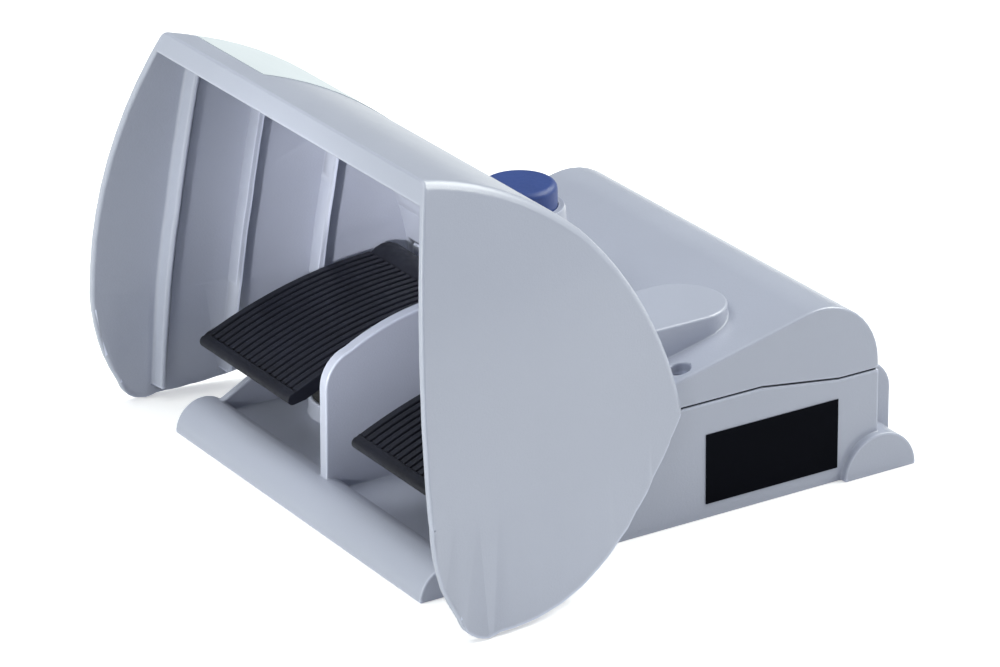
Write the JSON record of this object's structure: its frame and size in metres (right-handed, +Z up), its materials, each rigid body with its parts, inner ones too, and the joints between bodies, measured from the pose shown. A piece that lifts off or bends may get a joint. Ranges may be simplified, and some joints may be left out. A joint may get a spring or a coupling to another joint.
{
  "type": "industrial foot switch",
  "caption": "Two-pedal industrial foot switch in a lilac-grey hooded housing, with ribbed black pedals and a blue release button.",
  "frame": {"origin": "on the ground, at the middle of the footprint", "axes": "+X to the operator's right, +Y to the rear, where the cables enter, +Z up"},
  "size_m": [0.2844, 0.2618, 0.18],
  "materials": {
    "castings": "satin",
    "seals": "matte",
    "pedals": "matte",
    "screws": "satin",
    "shafts": "satin",
    "springs": "satin",
    "blocks": "matte",
    "rail": "satin",
    "brass": "satin",
    "bushes": "satin",
    "button": "satin",
    "dark_plate": "satin",
    "white_label": "gloss"
  },
  "bodies": {
    "root": {"base_housing": "castings", "top_cover": "castings", "cover_gasket": "seals", "hood": "castings", "hood_screws": "screws", "cover_screws": "screws", "pedal_shaft": "shafts", "shaft_clips": "shafts", "stop_buffers": "seals", "contact_block_left": "blocks", "contact_block_right": "blocks", "plunger_seals": "seals", "contact_rail": "rail", "block_screws": "screws", "terminal_screws": "brass", "earth_screw": "brass", "button_collar": "castings", "latch_pin": "shafts", "blanking_plug": "blocks", "plug_seal": "seals", "rating_label": "dark_plate", "hood_label": "white_label", "pedal_spring_left": "springs", "pedal_spring_right": "springs", "button_spring": "springs", "boot_left": "seals", "boot_right": "seals"},
    "pedal_left_body": {"pedal_left": "pedals", "pedal_bushes_left": "bushes"},
    "pedal_right_body": {"pedal_right": "pedals", "pedal_bushes_right": "bushes"},
    "plunger_left_body": {"contact_plunger_left": "shafts"},
    "plunger_right_body": {"contact_plunger_right": "shafts"},
    "button_body": {"release_button": "button", "button_stem": "shafts"},
    "latch_body": {"latch_lever": "shafts"}
  },
  "joints": [
    {"name": "pedal_left_hinge", "type": "hinge", "parent": "root", "child": "pedal_left_body", "pos_m": [0, -0.00865, 0.043], "axis": [1, 0, 0], "range_deg": [0, 7], "stiffness_Nm_per_rad": 3, "springref_deg": -17.19, "deforming": ["pedal_spring_left", "boot_left"]},
    {"name": "plunger_left_slide", "type": "slide", "parent": "root", "child": "plunger_left_body", "axis": [0, 1, 0], "range_m": [0, 0.00255]},
    {"name": "pedal_right_hinge", "type": "hinge", "parent": "root", "child": "pedal_right_body", "pos_m": [0, -0.00865, 0.043], "axis": [1, 0, 0], "range_deg": [0, 7], "stiffness_Nm_per_rad": 3, "springref_deg": -17.19, "deforming": ["pedal_spring_right", "boot_right"]},
    {"name": "plunger_right_slide", "type": "slide", "parent": "root", "child": "plunger_right_body", "axis": [0, 1, 0], "range_m": [0, 0.00255]},
    {"name": "button_slide", "type": "slide", "parent": "root", "child": "button_body", "axis": [0, 0, -1], "range_m": [0, 0.004], "stiffness_N_per_m": 320, "springref_m": -0.0045, "deforming": ["button_spring"]},
    {"name": "latch_hinge", "type": "hinge", "parent": "root", "child": "latch_body", "pos_m": [0, -0.01265, 0.06], "axis": [-1, 0, 0], "range_deg": [0, 21.2]}
  ],
  "couplings": [
    {"joint": "plunger_left_slide", "follows": "pedal_left_hinge", "m_per_rad": 0.0208},
    {"joint": "plunger_right_slide", "follows": "pedal_right_hinge", "m_per_rad": 0.0208},
    {"joint": "latch_hinge", "follows": "button_slide", "rad_per_m": 90}
  ]
}
